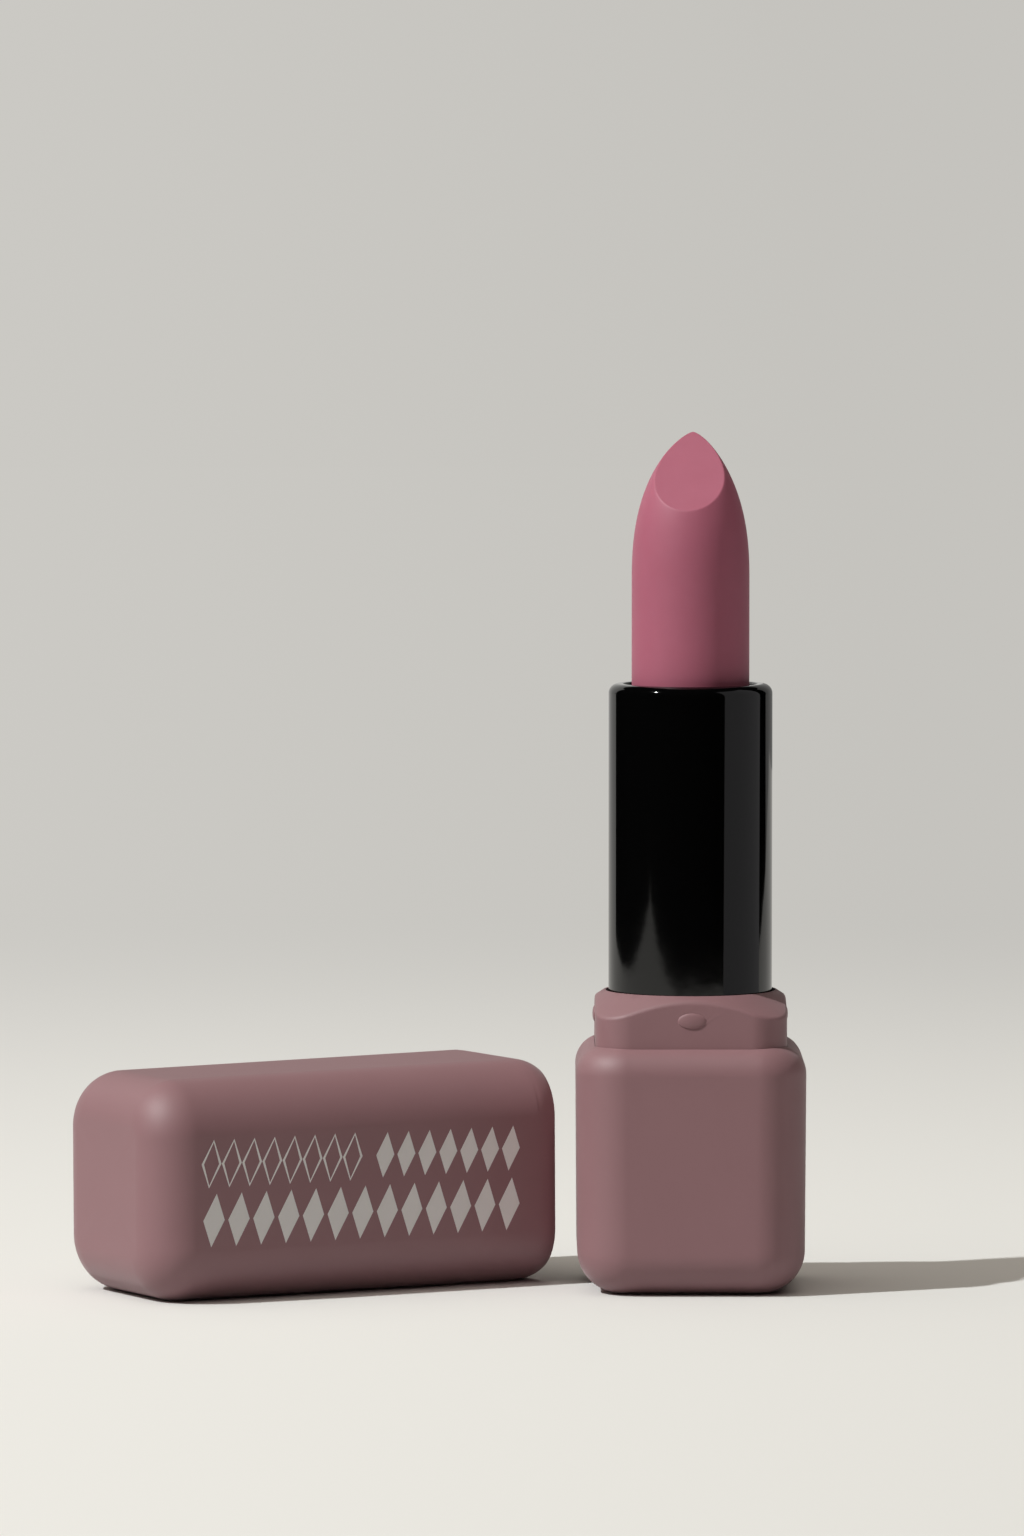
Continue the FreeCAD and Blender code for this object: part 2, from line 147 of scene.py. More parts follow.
def object_place(tree):
    """Where a point is on its piece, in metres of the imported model's frame."""
    return make(tree, "ShaderNodeTexCoord")["Object"]


def noise(tree, size, detail=2.0):
    """Noise from 0 to 1 whose blotches are about size metres across."""
    sockets = {"Vector": object_place(tree), "Scale": 1 / size, "Detail": detail}
    return make(tree, "ShaderNodeTexNoise", None, sockets)


def ramp(wire, low, high):
    """0 up to low, 1 from high on, and an eased slope between."""
    settings = {"interpolation_type": "SMOOTHSTEP"}
    sockets = {"Value": wire, "From Min": low, "From Max": high}
    return make(wire.tree, "ShaderNodeMapRange", settings, sockets)


def ramp_linear(wire, low, high):
    """0 up to low, 1 from high on, and a straight slope between."""
    sockets = {"Value": wire, "From Min": low, "From Max": high}
    return make(wire.tree, "ShaderNodeMapRange", None, sockets)


def mix_colours(tree, share, first, second):
    """The first colour where share is 0, the second where it is 1."""
    return make(tree, "ShaderNodeMix", {"data_type": "RGBA"}, {0: share, 6: first, 7: second})[2]


def bump(tree, height, depth):
    """Normal of a surface whose height, from 0 to 1, stands for depth metres."""
    return make(tree, "ShaderNodeBump", None, {"Distance": depth, "Height": height})


def finish_with(material, sockets):
    """Ends a material's tree in one Principled shader."""
    tree = material.node_tree
    shader = make(tree, "ShaderNodeBsdfPrincipled", None, sockets)
    make(tree, "ShaderNodeOutputMaterial", None, {"Surface": shader})
    return material


print("helpers for trees are ready")

# %% [markdown]
# ## The camera
#
# A long lens from a metre away keeps upright edges nearly parallel, as in a product picture.
# A camera looks along its own -Z, so turning it a quarter turn about X makes it look along +Y,
# and a little less makes it look slightly down. It stands left of the case, so that case and
# cap share the picture.

# %% Set up the camera
CAMERA_AWAY = 1.0
CAMERA_HEIGHT = 113.5 * MM
CAMERA_LEFT = 18.5 * MM
CAMERA_DOWN = 3.41                          # degrees
CAMERA_LENS = 226.4                         # on the usual 36 mm sensor

camera = bpy.data.objects.new("camera", bpy.data.cameras.new("camera"))
scene.collection.objects.link(camera)
camera.location = (-CAMERA_LEFT, -CAMERA_AWAY, CAMERA_HEIGHT)
camera.rotation_euler = (math.radians(90 - CAMERA_DOWN), 0, 0)
camera.data.lens = CAMERA_LENS
scene.camera = camera
scene.view_settings.view_transform = "Standard"
print("camera at, mm:", [round(x / MM, 1) for x in camera.location])

# %% [markdown]
# ## The table and the backdrop
#
# The set is one seamless sheet: bright in a painted pool of light near the case and a painted
# shade darker beyond, with no visible horizon. Painted shade also darkens it a little towards the
# right. A curved paper sweep would do it from one side only. A wide disc whose far part gives
# off its own even tone, with the world in that same tone, works from every side. Near the case
# the disc is plain matte paper, because there it has to catch shadows.

# %% Tones of the set
PAPER = (0.83, 0.83, 0.81, 1)
BOUNCE = (0.50, 0.49, 0.49, 1)              # paper as the case sees it, a little darker
FAR_TONE = (0.606, 0.593, 0.560, 1)
# The pool of light is painted: the lamp lights the paper evenly, and the paper fades to a darker
# self-lit tone away from this centre.
PAINTED_POOL_CENTRE = (0.0, -0.1)                   # the pool of light lies a little before the case
PAINTED_POOL_INNER = 0.10
PAINTED_POOL_OUTER = 0.62
# Painted shade: how much darker the set's paper and backdrop are painted at the right.
PAINTED_SIDE_SHADE = 0.08                            # how much darker the set is at the right
SIDE_VIEW = 0.053                           # half the picture's width, at one metre
DISC_RADIUS = 3.0
FLOOR_GAP = 0.02 * MM                       # the table is a hair below the foot


def painted_shade_share(tree, across, away):
    """The share of painted shade, from 0 at the left of the set to 1 at its right, seen from the
    front.
    """
    ratio = across / away
    sockets = {"Value": ratio, "From Min": -1.4 * SIDE_VIEW, "From Max": 0.6 * SIDE_VIEW}
    return make(tree, "ShaderNodeMapRange", None, sockets)


def paint_shade_to_right(tree, colour, across, away):
    """A tone with painted shade, a little darker towards the right."""
    darker = tuple(c * (1 - PAINTED_SIDE_SHADE) for c in colour[:3]) + (1,)
    return mix_colours(tree, painted_shade_share(tree, across, away), colour, darker)


# %% The paper's finish
def set_paper():
    material = new_material("set_paper")
    tree = material.node_tree
    place = make(tree, "ShaderNodeSeparateXYZ", None, {0: object_place(tree)})
    across = place["X"]
    forward = place["Y"]
    from_painted_pool = ((across - PAINTED_POOL_CENTRE[0]) ** 2 + (forward - PAINTED_POOL_CENTRE[1]) ** 2) ** 0.5
    # Painted shade: the pool's edge, where the lamp-lit paper blends into the darker self-lit far
    # tone.
    beyond = ramp(from_painted_pool, PAINTED_POOL_INNER, PAINTED_POOL_OUTER)
    away = (forward + CAMERA_AWAY).at_least(0.3)
    near_colour = paint_shade_to_right(tree, PAPER, across, away)
    far_colour = paint_shade_to_right(tree, FAR_TONE, across, away)
    bounced = make(tree, "ShaderNodeLightPath")["Is Diffuse Ray"]
    paper = mix_colours(tree, bounced, near_colour, BOUNCE)
    near = make(tree, "ShaderNodeBsdfDiffuse", None, {"Color": paper})
    far = make(tree, "ShaderNodeEmission", None, {"Color": far_colour})
    mixed = make(tree, "ShaderNodeMixShader", None, {0: beyond, 1: near, 2: far})
    make(tree, "ShaderNodeOutputMaterial", None, {"Surface": mixed})
    return material


PAPER_FINISH = set_paper()

# %% Cut the table and the wide disc
TABLE_FRONT = 0.385                         # the table's edges, from the twist axis
TABLE_LEFT = 0.420
TABLE_RIGHT = 0.385
TABLE_BACK = 0.9
TABLE_TURN = -11.5                          # degrees


def flat_piece(name, corners, height, material):
    """One flat face of the set, seen from above."""
    mesh = bpy.data.meshes.new(name)
    mesh.from_pydata([(x, y, height) for x, y in corners], [], [range(len(corners))])
    piece = bpy.data.objects.new(name, mesh)
    scene.collection.objects.link(piece)
    piece.data.materials.append(material)
    return piece


turn = Matrix.Rotation(math.radians(TABLE_TURN), 2)
table_corners = [(-TABLE_LEFT, -TABLE_FRONT), (TABLE_RIGHT, -TABLE_FRONT),
                 (TABLE_RIGHT, TABLE_BACK), (-TABLE_LEFT, TABLE_BACK)]
flat_piece("table", [turn @ Vector(c) for c in table_corners], -FLOOR_GAP, PAPER_FINISH)

around = [2 * math.pi * step / 96 for step in range(96)]
rim = [(DISC_RADIUS * math.cos(a), DISC_RADIUS * math.sin(a)) for a in around]
disc = flat_piece("wide_floor", rim, -2 * FLOOR_GAP, PAPER_FINISH)
disc.visible_glossy = False                 # beyond the table's edges the room is dark
disc.visible_diffuse = False
print("table and floor are cut")

# %% [markdown]
# ## Light
#
# One hard lamp stands high at the front left and draws the long shadow to the right. The
# world adds a dim warm fill from above and from the left. A dark room around a small bright
# table is what makes a gloss black tube look black, so gloss doesn't see the world at all.
# Cards that only gloss can see put the edges back: a bright one behind the case at its left,
# dimmer ones behind and at its right, and a dark flag that ends the table at the front right.

# %% The hard lamp
LAMP_HEIGHT = 46.0                          # degrees above the table
LAMP_SIDE = 26.0                            # degrees that its light runs backwards from +X
LAMP_POWER = 2.63
LAMP_SPREAD = 1.6                           # degrees, which softens the shadow's edge

lamp = bpy.data.objects.new("lamp", bpy.data.lights.new("lamp", "SUN"))
scene.collection.objects.link(lamp)
lamp.data.energy = LAMP_POWER
lamp.data.angle = math.radians(LAMP_SPREAD)
lamp.data.color = (0.985, 1.0, 0.99)
lamp.rotation_euler = (0, math.radians(LAMP_HEIGHT - 90), math.radians(LAMP_SIDE))
shines = lamp.rotation_euler.to_matrix() @ Vector((0, 0, -1))
print("the lamp shines along", [round(x, 2) for x in shines])

# %% The world
WORLD_FILL = (0.71, 0.65, 0.58, 1)


def set_world():
    world = bpy.data.worlds.new("studio")
    world.use_nodes = True
    tree = world.node_tree
    tree.nodes.clear()
    view = make(tree, "ShaderNodeTexCoord")["Generated"]
    direction = make(tree, "ShaderNodeSeparateXYZ", None, {0: view})
    ahead = direction["Y"].at_least(0.3)
    # The backdrop that the camera sees carries the same painted shade towards the right.
    tone = paint_shade_to_right(tree, FAR_TONE, direction["X"], ahead)
    seen = make(tree, "ShaderNodeLightPath")["Is Camera Ray"]
    openness = ramp(direction["Z"] - 0.25 * direction["X"], 0.3, 0.95)
    fill = mix_colours(tree, openness, (0.01, 0.01, 0.01, 1), WORLD_FILL)
    colour = mix_colours(tree, seen, fill, tone)
    light = make(tree, "ShaderNodeBackground", None, {"Color": colour})
    make(tree, "ShaderNodeOutputWorld", None, {"Surface": light})
    world.cycles_visibility.glossy = False
    return world


scene.world = set_world()


# %% Cards that only gloss can see
def gloss_card(name, azimuths, radius, low, high, colour, strength):
    """Upright strip of a cylinder round the case; azimuth 0 is at the front, 90 at the right."""
    steps = 24
    first, last = azimuths
    points = []
    for step in range(steps + 1):
        angle = math.radians(first + (last - first) * step / steps)
        points.append((radius * math.sin(angle), -radius * math.cos(angle)))
    mesh = bpy.data.meshes.new(name)
    verts = [(x, y, low) for x, y in points] + [(x, y, high) for x, y in points]
    row = steps + 1
    faces = [(i, i + 1, i + 1 + row, i + row) for i in range(steps)]
    mesh.from_pydata(verts, [], faces)
    card = bpy.data.objects.new(name, mesh)
    scene.collection.objects.link(card)
    material = new_material(name)
    tree = material.node_tree
    glow = make(tree, "ShaderNodeEmission", None, {"Color": colour, "Strength": strength})
    make(tree, "ShaderNodeOutputMaterial", None, {"Surface": glow})
    mesh.materials.append(material)
    card.visible_camera = False
    card.visible_diffuse = False
    card.visible_shadow = False
    return card


gloss_card("card_behind_left", (178, 229), 1.5, -0.2, 1.0, (1, 0.985, 0.95, 1), 0.6)
gloss_card("card_behind_right", (132, 178), 1.5, -0.2, 1.0, (1, 0.985, 0.95, 1), 0.27)
gloss_card("card_right", (46.7, 112), 0.345, 0.0, 0.5, (1, 0.98, 1, 1), 0.36)
gloss_card("dark_flag", (-2, 46.7), 0.39, 0.0, 0.3, (0, 0, 0, 1), 0.0)
print("lamp, world and cards are set")

# %% [markdown]
# ## Soft-touch lacquer
#
# The base, its collar and the cap share a dusty mauve lacquer that feels like fine suede. It
# scatters light almost evenly, with a broad pale glow towards the lamp instead of a highlight,
# and a faint dusty edge. Under a loupe its surface is a fine, even orange peel.

# %% Mix the mauve
def soft_touch():
    material = new_material("soft_touch_mauve")
    tree = material.node_tree
    mottle = noise(tree, 9 * MM)
    peel = noise(tree, 0.16 * MM, 3.0)
    handled = noise(tree, 4 * MM, 4.0)
    colour = mix_colours(tree, mottle, (0.288, 0.143, 0.156, 1), (0.308, 0.155, 0.169, 1))
    return finish_with(material, {
        "Base Color": colour,
        "Roughness": 0.56 + 0.06 * handled,
        "Specular IOR Level": 0.9,
        "Sheen Weight": 0.2,
        "Sheen Roughness": 0.4,
        "Normal": bump(tree, peel, 0.004 * MM),
    })


# %% [markdown]
# ## The other finishes
#
# The tube is lacquered a deep gloss black. Everything inside the case is satin black plastic,
# natural acetal, silicone, steel or foam. These are hardly ever seen, yet each keeps the grain
# that its making leaves, because a case may be opened or posed.

# %% Gloss black
def gloss_black():
    material = new_material("gloss_black_lacquer")
    tree = material.node_tree
    wipe = noise(tree, 3 * MM, 4.0)
    return finish_with(material, {
        "Base Color": (0.0015, 0.0015, 0.0016, 1),
        "Roughness": 0.03 + 0.03 * wipe,
        "Normal": bump(tree, noise(tree, 2.5 * MM), 0.002 * MM),
    })


# %% Moulded and sheet materials
def moulded(name, colour, roughness, grain, depth):
    """Plastic with a spark-eroded grain of one size."""
    material = new_material(name)
    tree = material.node_tree
    lighter = tuple(min(1, c * 1.12) for c in colour[:3]) + (1,)
    grains = noise(tree, grain, 3.0)
    return finish_with(material, {
        "Base Color": mix_colours(tree, grains, colour, lighter),
        "Roughness": roughness + 0.08 * noise(tree, 12 * grain),
        "Normal": bump(tree, grains, depth),
    })


def steel():
    material = new_material("tumbled_steel")
    tree = material.node_tree
    marks = noise(tree, 0.5 * MM, 5.0)
    return finish_with(material, {
        "Base Color": mix_colours(tree, marks, (0.42, 0.42, 0.43, 1), (0.58, 0.58, 0.57, 1)),
        "Metallic": 1.0,
        "Roughness": 0.32 + 0.2 * marks,
        "Normal": bump(tree, marks, 0.02 * MM),
    })


def lipstick_wax():
    material = new_material("lipstick_wax")
    tree = material.node_tree
    bloom = noise(tree, 2.2 * MM, 3.0)
    return finish_with(material, {
        "Base Color": mix_colours(tree, bloom, (0.455, 0.125, 0.190, 1), (0.485, 0.140, 0.210, 1)),
        "Roughness": 0.5 + 0.08 * bloom,
        "Subsurface Weight": 0.08,
        "Subsurface Radius": (1.0, 0.35, 0.4),
        "Subsurface Scale": 0.8 * MM,
        "Normal": bump(tree, noise(tree, 0.3 * MM, 3.0), 0.003 * MM),
    })


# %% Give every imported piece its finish
FINISHES = {
    "soft_touch": soft_touch(),
    "gloss_black": gloss_black(),
    "black_plastic": moulded(
        "satin_black_plastic", (0.012, 0.012, 0.013, 1), 0.42, 0.12 * MM, 0.01 * MM
    ),
    "natural_plastic": moulded("natural_acetal", (0.62, 0.60, 0.54, 1), 0.38, 0.2 * MM, 0.006 * MM),
    "silicone": moulded("silicone_rubber", (0.45, 0.47, 0.47, 1), 0.35, 0.3 * MM, 0.01 * MM),
    "steel": steel(),
    "foam": moulded("closed_cell_foam", (0.035, 0.035, 0.04, 1), 0.85, 0.25 * MM, 0.08 * MM),
    "label_paper": moulded("label_paper", (0.72, 0.70, 0.67, 1), 0.6, 0.08 * MM, 0.006 * MM),
    "lipstick": lipstick_wax(),
}
for part in frame["record"]["subparts"]:
    mesh = nodes[part["node"]].data
    mesh.materials.clear()
    mesh.materials.append(FINISHES[part["material_slot"]])
print("finishes:", ", ".join(FINISHES))

# %% [markdown]
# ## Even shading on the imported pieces
#
# Lacquer shows every uneven normal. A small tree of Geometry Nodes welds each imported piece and
# shades it smooth up to sharp edges, and weighted normals keep the broad flat sides flat.

# %% A tree that welds and smooths
SHARP_ANGLE = math.radians(55)
WELD = 0.02 * MM


def smoothing_tree():
    tree = bpy.data.node_groups.new("weld_and_smooth", "GeometryNodeTree")
    tree.interface.new_socket("Geometry", in_out="INPUT", socket_type="NodeSocketGeometry")
    tree.interface.new_socket("Geometry", in_out="OUTPUT", socket_type="NodeSocketGeometry")
    given = make(tree, "NodeGroupInput")
    welded = make(tree, "GeometryNodeMergeByDistance", None, {"Geometry": given, "Distance": WELD})
    unshaded = {"Geometry": welded, "Name": "custom_normal"}
    plain = make(tree, "GeometryNodeRemoveAttribute", None, unshaded)
    all_smooth = {0: plain, "Shade Smooth": True}
    smooth = make(tree, "GeometryNodeSetShadeSmooth", {"domain": "FACE"}, all_smooth)
    bend = make(tree, "GeometryNodeInputMeshEdgeAngle")["Unsigned Angle"]
    gentle = make(tree, "ShaderNodeMath", {"operation": "LESS_THAN"}, {0: bend, 1: SHARP_ANGLE})
    by_angle = {0: smooth, "Shade Smooth": gentle}
    creased = make(tree, "GeometryNodeSetShadeSmooth", {"domain": "EDGE"}, by_angle)
    make(tree, "NodeGroupOutput", None, {"Geometry": creased})
    return tree


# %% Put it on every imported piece
SMOOTHING = smoothing_tree()
for node in nodes.values():
    node.modifiers.new("weld_and_smooth", "NODES").node_group = SMOOTHING
    even = node.modifiers.new("even_normals", "WEIGHTED_NORMAL")
    even.keep_sharp = True
print("even shading on", len(nodes), "pieces")

# %% [markdown]
# ## The lipstick's slanted tip
#
# The stick is one rule. Round sections grow from a point to the stick's full width while their
# centres slide from the leaning tip back to the axis. A plane through the tip then presses
# down everything above it. The smooth minimum of the two heights leaves the thin soft rim of a
# cast stick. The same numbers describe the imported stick, so the two have one outline.

# %% A tree for the stick
FOLD = 2e-7                                 # welds rows that meet in a point, in metres
STICK = {
    "Radius": 6.1 * MM,
    "Foot": 51.1 * MM,
    "Tip": 88.7 * MM,
    "Nose": 15.2 * MM,
    "Lean": 3.2 * MM,
    "Slope": math.tan(math.radians(43.0)),
    "Turn": math.radians(-5.3),
    "Rim": 0.12 * MM,
}
SWELL = 2.4                                 # exponents of the nose's outline
BLUNT = 0.7
LEAN_FADE = 6.4
AROUND = 241
ALONG = 201
NOSE_SHARE = 0.9                            # rows of the mesh that the nose takes


def stick_tree():
    tree = bpy.data.node_groups.new("lipstick_stick", "GeometryNodeTree")
    tree.interface.new_socket("Geometry", in_out="OUTPUT", socket_type="NodeSocketGeometry")
    for name, value in STICK.items():
        socket = tree.interface.new_socket(name, in_out="INPUT", socket_type="NodeSocketFloat")
        socket.default_value = value
    given = make(tree, "NodeGroupInput")
    sizes = {"Size X": 1.0, "Size Y": 1.0, "Vertices X": AROUND, "Vertices Y": ALONG}
    sheet = make(tree, "GeometryNodeMeshGrid", None, sizes)
    place = make(tree, "ShaderNodeSeparateXYZ", None, {0: make(tree, "GeometryNodeInputPosition")})
    angle = (place["X"] + 0.5) * (2 * math.pi)
    row = place["Y"] + 0.5                  # 0 at the tip, 1 in the middle of the foot
    on_nose = (row / NOSE_SHARE).at_most(1.0)
    depth = given["Nose"] * on_nose ** 2
    rise = (1 - on_nose ** 2).at_least(0.0)
    foot_rows = ramp_linear(row, NOSE_SHARE, 0.97)
    closing = 1 - ramp_linear(row, 0.97, 1.0)
    radius = given["Radius"] * (1 - rise ** SWELL) ** BLUNT * closing
    centre = given["Lean"] * rise ** LEAN_FADE
    level = given["Tip"] - depth - foot_rows * (given["Tip"] - given["Nose"] - given["Foot"])
    across = radius * angle.sine()
    away = centre + radius * angle.cosine()
    plane = given["Tip"] + (away - given["Lean"]) * given["Slope"]
    height = level.math("SMOOTH_MIN", level, plane, given["Rim"])
    point = make(tree, "ShaderNodeCombineXYZ", None, {0: across, 1: away, 2: height})
    spin = {"Vector": point, "Angle": given["Turn"]}
    turned = make(tree, "ShaderNodeVectorRotate", {"rotation_type": "Z_AXIS"}, spin)
    shaped = make(tree, "GeometryNodeSetPosition", None, {"Geometry": sheet, "Position": turned})
    welded = make(tree, "GeometryNodeMergeByDistance", None, {"Geometry": shaped, "Distance": FOLD})
    smooth = make(tree, "GeometryNodeSetShadeSmooth", None, {0: welded, "Shade Smooth": True})
    real = make(tree, "GeometryNodeRealizeInstances", None, {0: smooth})
    wax = {"Geometry": real, "Material": FINISHES["lipstick"]}
    waxed = make(tree, "GeometryNodeSetMaterial", None, wax)
    make(tree, "NodeGroupOutput", None, {"Geometry": waxed})
    return tree


def grown(name, tree, values):
    """The mesh that a tree of Geometry Nodes makes from named values, as a plain object."""
    piece = bpy.data.objects.new(name, bpy.data.meshes.new(name + "_seed"))
    scene.collection.objects.link(piece)
    modifier = piece.modifiers.new(name, "NODES")
    modifier.node_group = tree
    for socket in tree.interface.items_tree:
        if socket.in_out == "INPUT" and socket.name in values:
            modifier[socket.identifier] = values[socket.name]
    seen = piece.evaluated_get(bpy.context.evaluated_depsgraph_get())
    mesh = bpy.data.meshes.new_from_object(seen)
    piece.modifiers.clear()
    piece.data = mesh
    mesh.name = name
    return piece


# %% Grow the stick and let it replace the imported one
stick = grown("lipstick_stick", stick_tree(), STICK)
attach(stick, "carrier")
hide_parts("bullet")
print("stick faces:", len(stick.data.polygons))

# %% [markdown]
# ## The lacquer film of the cap
#
# Soft-touch lacquer is sprayed on as a film of its own. Here it also hides a fault: the packed
# cap has narrow folded triangles in the corners of its closed end. The film is one rule: a
# square with round corners, whose sides and corner radius shrink together over the rounded
# closed end, carried along the cap's slightly drafted length.

# %% A tree for the film
CAP = {
    "Length": 48.42 * MM,
    "Mouth Width": 23.2 * MM,
    "End Width": 22.693 * MM,
    "Corner": 5.8 * MM,
    "End Round": 4.9 * MM,
    "Mouth Round": 4.0 * MM,
    "Film": 0.04 * MM,
}
CAP_DRAFT = math.radians(0.3)
CAP_YAW = math.radians(28.9)                # the lying cap, from its end towards its mouth
CAP_MIDDLE = Vector((-39.0, 0.9, 0)) * MM
FILM_AROUND = 96
FILM_ROWS = 41
END_ROWS = 0.8                              # share of the rows that rounds the closed end


def film_tree():
    tree = bpy.data.node_groups.new("cap_lacquer_film", "GeometryNodeTree")
    tree.interface.new_socket("Geometry", in_out="OUTPUT", socket_type="NodeSocketGeometry")
    for name, value in CAP.items():
        socket = tree.interface.new_socket(name, in_out="INPUT", socket_type="NodeSocketFloat")
        socket.default_value = value
    given = make(tree, "NodeGroupInput")
    sizes = {"Size X": 1.0, "Size Y": 1.0, "Vertices X": FILM_AROUND + 1, "Vertices Y": FILM_ROWS}
    sheet = make(tree, "GeometryNodeMeshGrid", None, sizes)
    place = make(tree, "ShaderNodeSeparateXYZ", None, {0: make(tree, "GeometryNodeInputPosition")})
    angle = (place["X"] + 0.5 + 0.5 / FILM_AROUND) * (2 * math.pi)
    row = place["Y"] + 0.5                  # 0 in the middle of the closed end, 1 at the mouth
    bend = ramp_linear(row, 0.5 / FILM_ROWS, END_ROWS) * (math.pi / 2)
    drop = given["End Round"] * (1 - bend.cosine())
    inset = given["End Round"] * (1 - bend.sine())
    side = ramp_linear(row, END_ROWS, 1.0)
    straight = given["Length"] - given["End Round"] - given["Mouth Round"]
    level = given["Length"] + given["Film"] - drop - side * straight
    widths = given["End Width"] - given["Mouth Width"]
    half = (given["Mouth Width"] + widths * level / given["Length"]) * 0.5
    opened = ramp_linear(row, 0.0, 0.5 / FILM_ROWS)
    corner = (given["Corner"] - inset + given["Film"]) * opened
    flat = (half - given["Corner"]) * opened
    cosine = angle.cosine()
    sine = angle.sine()
    across = cosine.sign() * flat + corner * cosine
    upright = sine.sign() * flat + corner * sine
    point = make(tree, "ShaderNodeCombineXYZ", None, {0: across, 1: upright, 2: level})
    shaped = make(tree, "GeometryNodeSetPosition", None, {"Geometry": sheet, "Position": point})
    welded = make(tree, "GeometryNodeMergeByDistance", None, {"Geometry": shaped, "Distance": FOLD})
    smooth = make(tree, "GeometryNodeSetShadeSmooth", None, {0: welded, "Shade Smooth": True})
    real = make(tree, "GeometryNodeRealizeInstances", None, {0: smooth})
    coat = {"Geometry": real, "Material": FINISHES["soft_touch"]}
    coated = make(tree, "GeometryNodeSetMaterial", None, coat)
    make(tree, "NodeGroupOutput", None, {"Geometry": coated})
    return tree


# %% Grow the film and lay it with the cap
film = grown("cap_lacquer_film", film_tree(), CAP)
even = film.modifiers.new("even_normals", "WEIGHTED_NORMAL")
resting = (CAP["Mouth Width"] + CAP["End Width"]) / 4 * math.cos(CAP_DRAFT)
laid_down = (Matrix.Translation(CAP_MIDDLE)
             @ Matrix.Rotation(CAP_YAW, 4, "Z")
             @ Matrix.Translation((0, 0, resting))
             @ Matrix.Rotation(-math.pi / 2 - CAP_DRAFT, 4, "Y")
             @ Matrix.Translation((0, 0, -CAP["Length"] / 2)))
film.data.transform(laid_down)
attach(film, "cap")
print("film faces:", len(film.data.polygons))

# %% [markdown]
# ## A printed ornament on the cap
#
# The cap's long side carries a pale print: a low band of solid lozenges, and over it a second
# band, half drawn in hairlines and half solid. Each band is one row of points with a lozenge on
# every point. The outlines are cut fine, then every vertex is cast straight at the cap, so the
# ink lies on the lacquer and follows the slight taper of the cap.

# %% The side of the cap that carries the print
CAP_ALONG = Vector((math.cos(CAP_YAW), math.sin(CAP_YAW), 0))
CAP_OUT = Vector((math.sin(CAP_YAW), -math.cos(CAP_YAW), 0))
INK_PROUD = 0.055 * MM
STAND_OFF = 13 * MM                         # the print is drawn this far from the cap's middle
ink = new_material("pale_print_ink")
finish_with(ink, {"Base Color": (0.95, 0.94, 0.92, 1), "Roughness": 0.5})


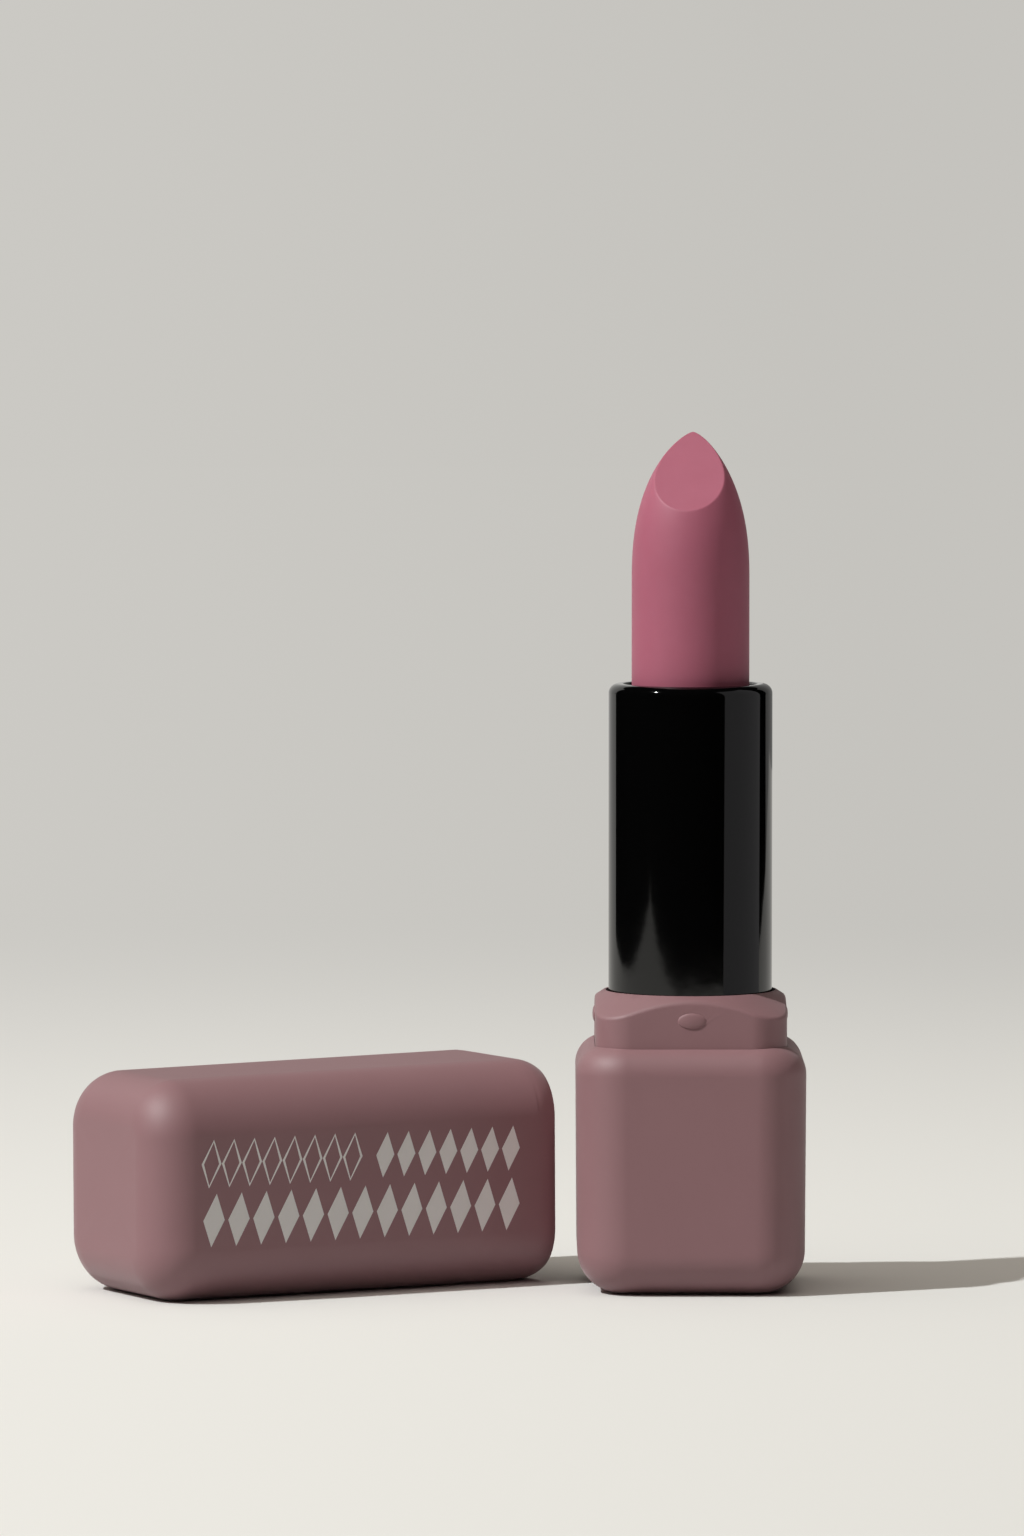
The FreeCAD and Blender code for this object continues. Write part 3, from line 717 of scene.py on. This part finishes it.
# %% A tree for one band of lozenges
def band_tree(name):
    tree = bpy.data.node_groups.new(name, "GeometryNodeTree")
    tree.interface.new_socket("Geometry", in_out="OUTPUT", socket_type="NodeSocketGeometry")
    for label in ("Start", "End", "Low", "High", "Slant", "Stroke"):
        tree.interface.new_socket(label, in_out="INPUT", socket_type="NodeSocketFloat")
    tree.interface.new_socket("Count", in_out="INPUT", socket_type="NodeSocketInt")
    tree.interface.new_socket("Hollow", in_out="INPUT", socket_type="NodeSocketBool")
    given = make(tree, "NodeGroupInput")
    count = given["Count"]
    pitch = (given["End"] - given["Start"]) / count
    index = make(tree, "GeometryNodeInputIndex")
    along = given["Start"] + (index + 0.5) * pitch
    middle = (given["Low"] + given["High"]) * 0.5
    spot = make(tree, "ShaderNodeCombineXYZ", None, {0: along, 1: middle})
    spots = make(tree, "GeometryNodePoints", None, {"Count": count, "Position": spot})
    tall = (given["High"] - given["Low"]) * 0.5
    wide = pitch * 0.43
    corners = {"Vertices": 4, "Radius": 1.0}
    solid = make(tree, "GeometryNodeMeshCircle", {"fill_type": "NGON"}, corners)
    outline = make(tree, "GeometryNodeMeshToCurve", None, {"Mesh": solid})
    scale = make(tree, "ShaderNodeCombineXYZ", None, {0: wide, 1: tall, 2: 1.0})
    filled = make(tree, "GeometryNodeTransform", None, {"Geometry": solid, "Scale": scale})
    frame_line = make(tree, "GeometryNodeTransform", None, {"Geometry": outline, "Scale": scale})
    half = given["Stroke"] * 0.5
    one_end = make(tree, "ShaderNodeCombineXYZ", None, {0: half * -1})
    other_end = make(tree, "ShaderNodeCombineXYZ", None, {0: half})
    ends = {"Start": one_end, "End": other_end}
    stroke = make(tree, "GeometryNodeCurvePrimitiveLine", None, ends)
    drawn = make(tree, "GeometryNodeSetCurveNormal", {"mode": "Z_UP"}, {"Curve": frame_line})
    swept = {"Curve": drawn, "Profile Curve": stroke}
    hairline = make(tree, "GeometryNodeCurveToMesh", None, swept)
    choice = {"Switch": given["Hollow"], "False": filled, "True": hairline}
    lozenge = make(tree, "GeometryNodeSwitch", {"input_type": "GEOMETRY"}, choice)
    row = make(tree, "GeometryNodeInstanceOnPoints", None, {"Points": spots, "Instance": lozenge})
    real = make(tree, "GeometryNodeRealizeInstances", None, {0: row})
    fine = make(tree, "GeometryNodeSubdivideMesh", None, {"Mesh": real, "Level": 3})
    place = make(tree, "ShaderNodeSeparateXYZ", None, {0: make(tree, "GeometryNodeInputPosition")})
    run = place["X"] + place["Y"] * given["Slant"] - middle * given["Slant"]
    cast_from = make(tree, "ShaderNodeCombineXYZ", None, {
        0: CAP_MIDDLE.x + CAP_ALONG.x * run + CAP_OUT.x * STAND_OFF,
        1: CAP_MIDDLE.y + CAP_ALONG.y * run + CAP_OUT.y * STAND_OFF,
        2: place["Y"],
    })
    shell = {"Object": nodes["cap_shell"]}
    cap = make(tree, "GeometryNodeObjectInfo", {"transform_space": "RELATIVE"}, shell)
    ray = make(tree, "GeometryNodeRaycast", None, {
        "Target Geometry": cap["Geometry"],
        "Source Position": cast_from,
        "Ray Direction": tuple(-CAP_OUT),
        "Ray Length": 6 * MM,
    })
    lift = {0: ray["Hit Normal"], "Scale": INK_PROUD}
    raised = make(tree, "ShaderNodeVectorMath", {"operation": "SCALE"}, lift)
    on_lacquer = {0: ray["Hit Position"], 1: raised}
    resting = make(tree, "ShaderNodeVectorMath", {"operation": "ADD"}, on_lacquer)
    laid = make(tree, "GeometryNodeSetPosition", None, {"Geometry": fine, "Position": resting})
    inked = make(tree, "GeometryNodeSetMaterial", None, {"Geometry": laid, "Material": ink})
    make(tree, "NodeGroupOutput", None, {"Geometry": inked})
    return tree


# %% Print the three bands
BANDS = {
    "print_low_band": {"Start": -19.1, "End": 18.1, "Low": 5.9, "High": 11.4,
                       "Count": 13, "Hollow": False},
    "print_hairline_band": {"Start": -19.1, "End": -0.5, "Low": 12.1, "High": 16.8,
                            "Count": 8, "Hollow": True},
    "print_upper_band": {"Start": 0.9, "End": 18.1, "Low": 12.1, "High": 16.8,
                         "Count": 7, "Hollow": False},
}
LENGTHS = ("Start", "End", "Low", "High")   # these are in mm; Count and Hollow are not
LEAN_OF_PRINT = 0.12                        # run for each unit of rise
STROKE = 0.28 * MM
for name, values in BANDS.items():
    in_metres = {key: value * MM if key in LENGTHS else value for key, value in values.items()}
    band = grown(name, band_tree(name), {**in_metres, "Slant": LEAN_OF_PRINT, "Stroke": STROKE})
    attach(band, "cap")
    print(name, "faces:", len(band.data.polygons))
